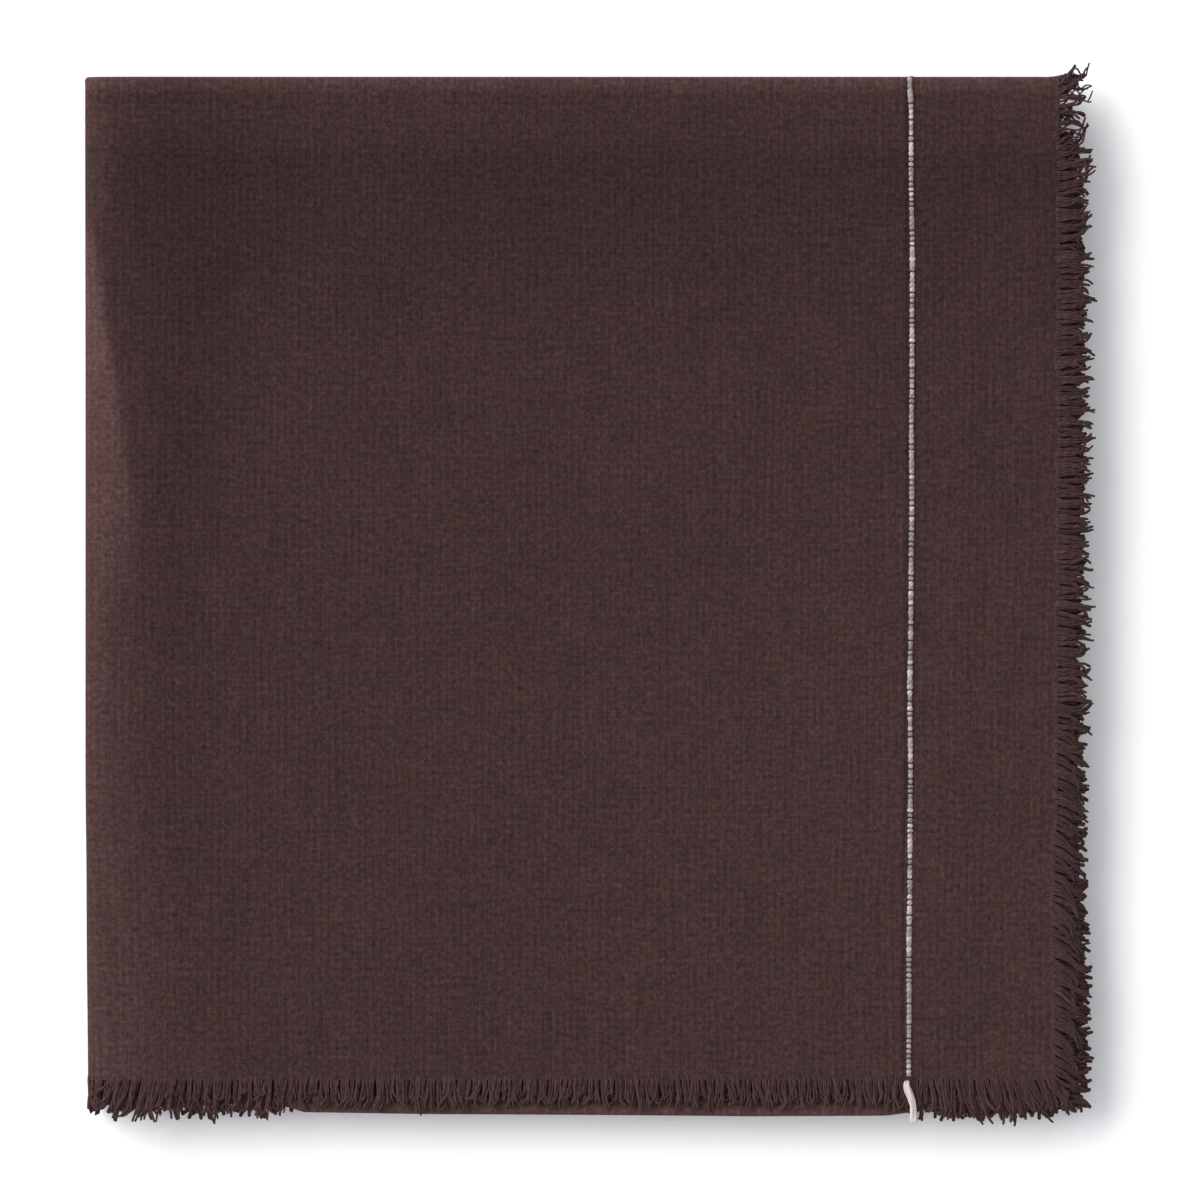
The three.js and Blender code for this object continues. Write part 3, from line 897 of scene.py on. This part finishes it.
def fringe(name, line, place, lay, spread, plies, settle, rng, tone_and_painted_light, keep=None, extra=()):
    """place(s, lat, out, lift) gives points; lay(s) gives root lean, tip lean and mean length; plies(s) their number."""
    s = np.arange(0.9, line.length - 0.6, BEAD)
    s = s + rng.normal(0, 0.20, len(s))
    if keep is not None:
        s = s[keep(s, rng)]
    K = len(s)
    pull = tidy_groups(K, rng)
    a0, a1, mean, wild, rough = lay(s)
    a0 = a0 + rng.normal(0, spread * 0.35, K) + pull * 0.8
    a1 = a1 + rng.normal(0, spread, K) + pull * 2.0
    length = mean * (1 + np.clip(rng.normal(0, 1, K), -2.5, 1.1) * rough)
    short = rng.random(K) < 0.20
    length = np.where(short, length * rng.uniform(0.6, 0.9, K), length)
    rows = [(s[i], a0[i], a1[i], length[i], 0.0, wild[i]) for i in range(K)] + [(*e, 0.0) for e in extra]
    rows = np.array(rows)
    s, a0, a1, length, rise, wild = rows.T
    count = plies(s)
    yarns = Yarns(int(np.maximum(count, 1).sum()))
    for number, sides, n in ((1, 6, 8), (2, 6, 12), (3, 6, 13)):
        m = np.where(count == number)[0]
        if not len(m):
            continue
        k = len(m)
        t = np.linspace(0, 1, n)[None, :]
        waves = rng.uniform(0.5, 1.2, (k, 1)) * (1 + 0.8 * smooth(wild[m, None], 15, 35))
        bow = np.sin(2 * math.pi * (t * waves + rng.random((k, 1)))) * np.minimum(t * 3, 1)
        lean = np.radians(a0[m, None] + (a1 - a0)[m, None] * t**0.9) + np.radians(wild[m, None]) * bow
        hook = np.radians(np.clip(rng.normal(0, 32, (k, 1)), -70, 70)) * (wild[m, None] > 0)
        lean = lean + hook * smooth(t, 0.62, 1.0)
        loose = smooth(wild[m, None], 15, 35)
        swell = 0.14 * np.sin(2 * math.pi * (t * rng.uniform(0.5, 1.2, (k, 1)) + rng.random((k, 1)))) * np.minimum(t * 2.5, 1)
        root = rng.uniform(0.7, 2.0, (k, 1))
        proud = rng.uniform(0.12, 0.38, (k, 1)) * (1 - smooth(t, 0.15, 0.6))
        fat = rng.uniform(0.90, 1.10, (k, 1))
        # Painted light: each strand's tone starts from a lighter value for the lower layers, which lie in shade.
        tone = np.clip(tone_and_painted_light + rng.normal(0, 0.11, k), 0.85, 2.0)
        sink = rng.uniform(0.6, 1.4, (k, 1))
        roll = rng.uniform(0, math.pi, (k, 1))
        turns = rng.uniform(0.15, 0.5, (k, 1)) * rng.choice([-1, 1], (k, 1))
        for ply in range(number):
            share = rng.uniform(0.78, 1.06, (k, 1)) if number > 1 else 1.0
            d = (length[m, None] * share + root) / (n - 1)
            out = np.concatenate([np.zeros((k, 1)), np.cumsum(np.cos(lean[:, 1:]) * d, 1)], 1) - root
            lat = np.concatenate([np.zeros((k, 1)), np.cumsum(np.sin(lean[:, 1:]) * d, 1)], 1)
            lat = lat - lat[:, 1:2] * (1 - t) ** 2
            lift = swell + proud + rise[m, None] * t**1.6
            if number > 1:
                turn = roll + 2 * math.pi * (ply / number + turns * t)
                apart = (0.50 + 0.22 * smooth(t, 0.55, 1.0) * rng.uniform(0.2, 2.0, (k, 1))) * fat * (1 + 0.7 * loose)
                fray = rng.uniform(0.0, 0.62, (k, 1)) * smooth(t, 0.30 - 0.25 * loose, 1.0 - 0.4 * loose) * (1 + 2.2 * loose)
                lat = lat + apart * np.cos(turn) + fray * np.sin(2 * math.pi * (t * rng.uniform(1.1, 2.2, (k, 1)) + rng.random((k, 1))))
                lift = lift + 0.45 * apart * np.sin(turn) * np.minimum(t * 4, 1)
                r = rng.uniform(0.44, 0.54, (k, 1)) * fat * (1 - 0.26 * loose)
            else:
                r = rng.uniform(0.74, 0.88, (k, 1))
            r = r * (1 + 0.07 * np.sin(2 * math.pi * (2.3 * t + rng.random((k, 1)))))
            r = r * (1 - 0.16 * smooth(t, 0.86, 1.0)) * (0.80 + 0.20 * smooth(t, 0.0, 0.16))
            here = np.broadcast_to(s[m, None], lat.shape)
            path = place(here, lat, out, lift)
            up = place(here, lat, out, lift + 0.1) - path
            path = settle(path, out, t, sink)
            shade = tone * rng.uniform(0.94, 1.06, k)
            yarns.add(path, up, np.broadcast_to(r, (k, n)).copy(), sides, 0.30, rng.random(k), shade, flat=0.80, lobes=0.08)
    return yarns.object(name, STRAND_MAT)


def rest_side(path, out, t, how):
    """The side fringe sinks a little towards what lies under it, more so past the lower fold."""
    z = path[..., 2]
    floor_z = 10.8
    sink = 0.20 * how * smooth(out, 1.0, 13.0)
    z = np.where(z > floor_z, floor_z + (z - floor_z) * (1 - sink), z)
    past = smooth(path[..., 0] - SHIFT[0], 177.0, 190.0)
    p = path.copy()
    p[..., 2] = z - 1.2 * how * past
    return p


def rest_end(path, out, t, how):
    """The end fringe lies on its strip's lower fold and drops past it."""
    p = path.copy()
    p[..., 2] = p[..., 2] - 0.5 * how * smooth(out, 8.5, 14.0) - 0.12 * how * smooth(out, 1.0, 9.0)
    return p


def end_fringe(name, level, end_y, rng, most, longer=0.0, extra=()):
    h = (level - 1.5) * LAYER
    a0, a1, mean, rough = (table(END_LAY, i) for i in (1, 2, 3, 4))

    def place(s, lat, out, lift):
        return at(s, end_y - out, h + lift, lat=lat)

    def lay(s):
        u = SIDE.at(s)[0]
        other = s > RUN[0][2]
        calm = np.where(other, 0.5, 1.0)
        length = mean(-u) + np.where(other, -0.6, longer)
        return a0(-u) * calm * -1, a1(-u) * calm * -1, length, np.full(len(s), 8.0), rough(-u)

    def plies(s):
        return np.where(s < RUN[0][2] + 12, most, 1)

    # Painted light: the lower layer's strands, which lie in shade, get a lighter colour than the top layer's.
    return fringe(name, SIDE, place, lay, 7.0, plies, rest_end, rng, 1.19 if level == 3 else 1.80, extra=extra)


def side_fringe(name, end_s, rng, most, extra=()):
    high, low = ([table(rows, i) for i in (1, 2, 3)] for rows in (SIDE_LAY, SIDE_LAY_LOW))
    first, last = END.parts[0][2], END.parts[-1][1]
    upper = end_s < 1

    def place(s, lat, out, lift):
        u, w, nu, nw = END.at(s)
        return at(end_s, u + nw * lat + nu * lift, w - nu * lat + nw * lift, out=out)

    def lay(s):
        u, w, nu, nw = END.at(s)
        way = np.where(nw >= 0, 1.0, -1.0)
        top = (s < first + 3) & upper
        pick = [np.where(top, a(u), b(u)) for a, b in zip(high, low)]
        wild = 9.0 + 32.0 * smooth(u, 150, 168)
        return pick[0] * way, pick[1] * way, pick[2] - (0.0 if upper else 0.5), wild, np.full(len(s), 0.08)

    def keep(s, rng):
        u = END.at(s)[0]
        thin = smooth(u, 163, 170) * (1 - smooth(u, 182, 185))
        return rng.random(len(s)) > thin * 0.80

    def plies(s):
        if upper:
            return np.where(s < first + 6, most, np.where(s > last, 2, 1))
        return np.ones(len(s), int)

    # Painted light: the lower layer's strands, which lie in shade, get a lighter colour than the top layer's.
    return fringe(name, END, place, lay, 8.0, plies, rest_side, rng, 1.22 if upper else 1.80, keep=keep, extra=extra)


# Stray strands of the top layer: place along the edge, root lean, tip lean, length, rise
TOP_S = END.parts[0][2]
STRAY_SIDE = [
    (TOP_S - 1.5, 34, 56, 10.6, 0.8),
    (TOP_S - 3.2, 26, 34, 11.0, 0.5),
    (TOP_S - 5.0, 10, -12, 9.6, 0.4),
    (TOP_S - 8.0, -20, 40, 9.2, 0.5),
    (TOP_S - 11.0, 30, -34, 9.8, 0.3),
    (TOP_S - 15.0, 24, -20, 10.0, 0.3),
    (TOP_S - 23.2, 6, -12, 11.2, 0.2),
    (TOP_S - 25.6, 2, 10, 11.6, 0.2),
    (298.0, 2, 4, 12.8, 0.3),
    (172.0, 0, -6, 13.2, 0.2),
]
STRAY_END = [
    (SIDE.parts[0][2] - 13.0, 4, 14, 14.4, 0.0),
    (SIDE.parts[0][2] - 17.0, 4, 6, 14.8, 0.0),
    (SIDE.parts[0][2] + 1.0, 30, 64, 9.6, 0.0),
    (SIDE.parts[0][2] - 2.0, 22, 48, 11.6, 0.0),
    (233.0, 0, -6, 13.0, 0.0),
    (12.0, -18, -34, 13.2, 0.2),
    (18.0, -14, -30, 14.4, 0.2),
]

END_UPPER = end_fringe("end_fringe_upper", 3, OPEN_END_Y, np.random.default_rng(31), 3, extra=STRAY_END)
END_INNER = end_fringe("end_fringe_inner", 2, OPEN_END_Y + INNER_EDGE_IN, np.random.default_rng(32), 3, longer=-0.2)
SIDE_UPPER = side_fringe("side_fringe_upper", 0.0, np.random.default_rng(33), 3, extra=STRAY_SIDE)
SIDE_INNER = side_fringe("side_fringe_inner", SIDE.length, np.random.default_rng(34), 1)


# ---------------------------------------------------------------- the stripe
# How far the stripe lies towards the open side of its even place, by y
STRIPE_SWAY = [
    (-187, 0.25),
    (-150, 0.6),
    (-110, 0.75),
    (-60, 0.3),
    (0, -0.05),
    (60, 0.05),
    (120, 0.2),
    (189, 0.1),
]
stripe_sway = table(STRIPE_SWAY)


def stripe():
    """One thick yarn over and under the cross threads: a line of uneven beads, half sunk in the cloth."""
    rng = np.random.default_rng(41)
    at_s, centres = 1.3, []
    while at_s < END.length - 0.6:
        centres.append(at_s)
        at_s += BEAD * (1 + rng.normal(0, 0.07))
    centres = np.array(centres)
    K = len(centres)
    size = np.clip(rng.normal(0.80, 0.17, K), 0.40, 1.10)
    wide = np.clip(rng.normal(1.0, 0.08, K), 0.82, 1.18)
    dip = np.where(rng.random(K) < 0.36, rng.uniform(0.5, 0.85, K), rng.uniform(0.10, 0.4, K))
    shade = np.where(rng.random(K) < 0.20, rng.uniform(0.60, 0.80, K), rng.uniform(0.30, 0.56, K))
    first = END.parts[1][2] + 4
    pos, bump, width, light = [], [], [], []
    for k in range(K - 1):
        n = 8 if centres[k] < first else 4
        t = np.arange(n) / n
        pos += list(centres[k] + (centres[k + 1] - centres[k]) * t)
        wave = (0.5 + 0.5 * np.cos(2 * math.pi * t)) ** 0.8
        level = size[k] * (1 - t) + size[k + 1] * t
        low = dip[k] * level
        bump += list(low + (level - low) * wave)
        width += list(wide[k] * (1 - t) + wide[k + 1] * t)
        light += list(np.where(t < 0.5, shade[k], shade[k + 1]))
    pos, bump, width, light = np.array(pos), np.array(bump), np.array(width), np.array(light)
    y = END.at(pos)[0]
    sway = 0.12 * np.sin(pos / 17.0) + 0.08 * np.sin(pos / 7.3 + 1.0)
    sway = sway + 0.45 * np.exp(-(((pos - END.parts[0][2]) / 5.0) ** 2)) - stripe_sway(y)
    sides = 8
    th = np.arange(sides) * 2 * math.pi / sides
    half = (0.68 + 0.32 * bump) * width
    tall = 0.20 + 0.26 * bump
    n = SHEET / 2 - 0.18 + 0.22 * bump
    lateral = STRIPE_IN + sway[:, None] + half[:, None] * np.sin(th)
    height = n[:, None] + tall[:, None] * np.cos(th)
    ring = on_cloth(lateral, np.broadcast_to(pos[:, None], lateral.shape), height)
    n_st = len(pos)
    verts = ring.reshape(-1, 3)
    ends = np.stack([ring[0].mean(0), ring[-1].mean(0)])
    verts = np.concatenate([verts, ends])
    i, j = np.meshgrid(np.arange(n_st - 1), np.arange(sides), indexing="ij")
    i, j = i.ravel(), j.ravel()
    k = (j + 1) % sides
    quads = np.stack([i * sides + j, (i + 1) * sides + j, (i + 1) * sides + k, i * sides + k], -1)
    uv = np.stack(
        [
            np.stack([j / sides, pos[i] * 0.5], -1),
            np.stack([j / sides, pos[i + 1] * 0.5], -1),
            np.stack([(j + 1) / sides, pos[i + 1] * 0.5], -1),
            np.stack([(j + 1) / sides, pos[i] * 0.5], -1),
        ],
        1,
    ).reshape(-1, 2)
    # For baking, the yarn's length is cut into columns beside each other.
    columns = 36
    per = math.ceil((n_st - 1) / columns)

    def bake_uv(ii, jj, di, dj):
        c = ii // per
        return np.stack([(c + 0.05 + 0.9 * (jj + dj) / sides) / columns, 0.01 + 0.98 * (ii - c * per + di) / per], -1)

    bake = np.stack([bake_uv(i, j, 0, 0), bake_uv(i, j, 1, 0), bake_uv(i, j, 1, 1), bake_uv(i, j, 0, 1)], 1).reshape(-1, 2)
    tris, tuv, tbake = [], [], []
    for jj in range(sides):
        kk = (jj + 1) % sides
        tris.append([n_st * sides, jj, kk])
        tris.append([n_st * sides + 1, (n_st - 1) * sides + kk, (n_st - 1) * sides + jj])
        for _ in range(2):
            tuv += [[0.5, 0.0], [jj / sides, 0.0], [(jj + 1) / sides, 0.0]]
            tbake += [[0.9995, 0.0005], [0.9999, 0.0005], [0.9997, 0.0009]]
    mesh = bpy.data.meshes.new("woven_stripe")
    mesh.from_pydata((verts * 0.001).tolist(), [], quads.tolist() + tris)
    for key, data in (("yarn", np.concatenate([uv, np.array(tuv)])), ("OFBake", np.concatenate([bake, np.array(tbake)]))):
        layer = mesh.uv_layers.new(name=key)
        layer.data.foreach_set("uv", data.astype(np.float32).ravel())
    # Painted shade: the yarn's colour is darker where it dips low between the beads.
    tone = np.concatenate([np.repeat(light * (0.61 + 0.30 * np.clip(bump, 0, 1)), sides), [0.7, 0.7]])
    a = mesh.attributes.new("tone", "FLOAT", "POINT")
    a.data.foreach_set("value", tone.astype(np.float32))
    mesh.polygons.foreach_set("use_smooth", np.ones(len(mesh.polygons), bool))
    mesh.materials.append(CREAM_MAT)
    mesh.update()
    obj = bpy.data.objects.new("woven_stripe", mesh)
    bpy.context.scene.collection.objects.link(obj)
    gaps = (centres[:-1] + centres[1:]) / 2
    return obj, gaps[dip[:-1] < 0.3]


STRIPE, CROSSINGS = stripe()


def cross_threads():
    """Where a brown thread crosses over the stripe's yarn between two beads."""
    rng = np.random.default_rng(42)
    s = CROSSINGS
    K, n = len(s), 7
    t = np.linspace(-1, 1, n)[None, :]
    lateral = STRIPE_IN - stripe_sway(END.at(s)[0])[:, None] + 1.45 * t + rng.normal(0, 0.05, (K, 1))
    along = s[:, None] + rng.normal(0, 0.08, (K, 1)) + rng.normal(0, 0.10, (K, 1)) * t
    height = SHEET / 2 - 0.26 + 0.40 * np.cos(t * math.pi / 2) ** 0.8
    path = on_cloth(lateral, along, height)
    up = on_cloth(lateral, along, height + 0.1) - path
    yarns = Yarns(K)
    r = rng.uniform(0.17, 0.25, (K, 1)) * np.ones((1, n))
    yarns.add(path, up, r, 5, 0.4, rng.random(K), np.clip(rng.normal(0.85, 0.1, K), 0.6, 1.2), flat=0.8)
    return yarns.object("stripe_cross_threads", STRAND_MAT)


CROSS = cross_threads()

# The loose end of the stripe yarn: distance out from the woven end, sideways towards the open side, lift, half width
TAIL = [
    (0.2, -0.8, -0.10, 0.60),
    (0.8, -0.8, 0.45, 1.00),
    (1.8, -0.65, 0.95, 1.30),
    (3.6, -0.1, 1.15, 1.50),
    (7.2, 1.1, 1.10, 1.42),
    (9.4, 1.5, 0.95, 1.20),
    (12.0, 1.65, 0.70, 1.42),
    (14.0, 1.75, 0.40, 1.55),
    (15.6, 1.75, 0.20, 1.45),
]


def tail(name, level, end_y, rng, rise=1.0):
    h = (level - 1.5) * LAYER
    rows = np.array(TAIL)
    n = 26
    q = np.linspace(0, 1, n)
    key = np.linspace(0, 1, len(rows))

    def soft(column):
        # a smooth curve through the rows
        v = rows[:, column]
        m = np.gradient(v, key)
        i = np.clip(np.searchsorted(key, q, side="right") - 1, 0, len(key) - 2)
        w = key[i + 1] - key[i]
        t = (q - key[i]) / w
        return (
            (2 * t**3 - 3 * t**2 + 1) * v[i]
            + (t**3 - 2 * t**2 + t) * w * m[i]
            + (-2 * t**3 + 3 * t**2) * v[i + 1]
            + (t**3 - t**2) * w * m[i + 1]
        )

    out, side, lift, half = (soft(c) for c in range(4))
    strands = 3
    paths, ups, radii = [], [], []
    for k in range(strands):
        turn = 2 * math.pi * (0.50 * q + k / strands) + rng.normal(0, 0.1)
        ox = side + half * 0.36 * np.cos(turn)
        oz = lift * rise + 0.22 * rise * np.sin(turn)
        s = STRIPE_IN - float(stripe_sway(end_y)) - ox
        p = at(s, end_y - out, h + oz)
        paths.append(p)
        ups.append(at(s, end_y - out, h + oz + 0.1) - p)
        radii.append(half * 0.66 * (1 - 0.30 * smooth(q, 0.93, 1.0)))
    yarns = Yarns(strands)
    yarns.add(np.array(paths), np.array(ups), np.array(radii), 12, 0.10, rng.random(strands), np.array([0.69, 0.62, 0.73]), flat=0.8, lobes=0.05)
    return yarns.object(name, CREAM_MAT)


TAIL_UPPER = tail("stripe_end_upper", 3, OPEN_END_Y, np.random.default_rng(51))
TAIL_INNER = tail("stripe_end_inner", 2, OPEN_END_Y + INNER_EDGE_IN, np.random.default_rng(52), 0.25)

# ---------------------------------------------------------------- bodies, and the parts that the pieces stand for hidden
for piece, nodes, slot in (
    (cloth, ("cloth",), "brown_cloth"),
    (END_UPPER, ("fringe_end_upper",), "brown_cloth"),
    (END_INNER, ("fringe_end_inner",), "brown_cloth"),
    (SIDE_UPPER, ("fringe_side_upper",), "brown_cloth"),
    (SIDE_INNER, ("fringe_side_inner",), "brown_cloth"),
    (STRIPE, (), "cream_yarn"),
    (CROSS, (), "brown_cloth"),
    (TAIL_UPPER, ("stripe_tail_upper",), "cream_yarn"),
    (TAIL_INNER, ("stripe_tail_inner",), "cream_yarn"),
):
    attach(piece, "root")
    if nodes:
        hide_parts(*nodes)

# ---------------------------------------------------------------- floor, light and camera
scene = bpy.context.scene
bpy.ops.mesh.primitive_plane_add(size=30, location=(0, 0, -0.00005))
floor = bpy.context.active_object
floor.name = "floor"
mat, tree, shader = nodes_of("floor")
shader.inputs["Base Color"].default_value = (0.80, 0.80, 0.805, 1)
shader.inputs["Roughness"].default_value = 0.95
shader.inputs["Specular IOR Level"].default_value = 0.1
floor.data.materials.append(mat)

world = bpy.data.worlds.new("studio")
scene.world = world
world.use_nodes = True
world.node_tree.nodes["Background"].inputs[0].default_value = (0.965, 0.955, 1.0, 1)
world.node_tree.nodes["Background"].inputs[1].default_value = 0.80

KEY_AZIMUTH = 148.0  # where the light comes from, degrees from +X
KEY_HEIGHT = 29.0
sun = bpy.data.lights.new("key", "SUN")
sun.energy = 5.3
sun.angle = math.radians(66)
sun.color = (1.0, 0.995, 0.985)
key = bpy.data.objects.new("key", sun)
scene.collection.objects.link(key)
a, e = math.radians(KEY_AZIMUTH), math.radians(KEY_HEIGHT)
from mathutils import Vector

back = Vector((math.cos(a) * math.cos(e), math.sin(a) * math.cos(e), math.sin(e)))
key.rotation_mode = "QUATERNION"
key.rotation_quaternion = back.to_track_quat("Z", "Y")
key.location = back * 2

# A weak, very soft light from the open end fills the shadow there.
soft_light = bpy.data.lights.new("fill", "SUN")
soft_light.energy = 0.4
soft_light.angle = math.radians(100)
fill = bpy.data.objects.new("fill", soft_light)
scene.collection.objects.link(fill)
a, e = math.radians(-78.0), math.radians(40.0)
back = Vector((math.cos(a) * math.cos(e), math.sin(a) * math.cos(e), math.sin(e)))
fill.rotation_mode = "QUATERNION"
fill.rotation_quaternion = back.to_track_quat("Z", "Y")
fill.location = back * 2

WIDTH = 0.435  # metres across the photograph at the pack's top
FAR = 6.0
cam = bpy.data.cameras.new("camera")
cam.sensor_width = 36
cam.lens = 36 * FAR / WIDTH
cam.clip_start, cam.clip_end = 0.1, 50
camera = bpy.data.objects.new("camera", cam)
scene.collection.objects.link(camera)
camera.location = ((4.35 + SHIFT[0]) / 1000, (-0.725 + SHIFT[1]) / 1000, FAR + 0.0205)
scene.camera = camera
scene.view_settings.view_transform = "Standard"
scene.view_settings.look = "None"
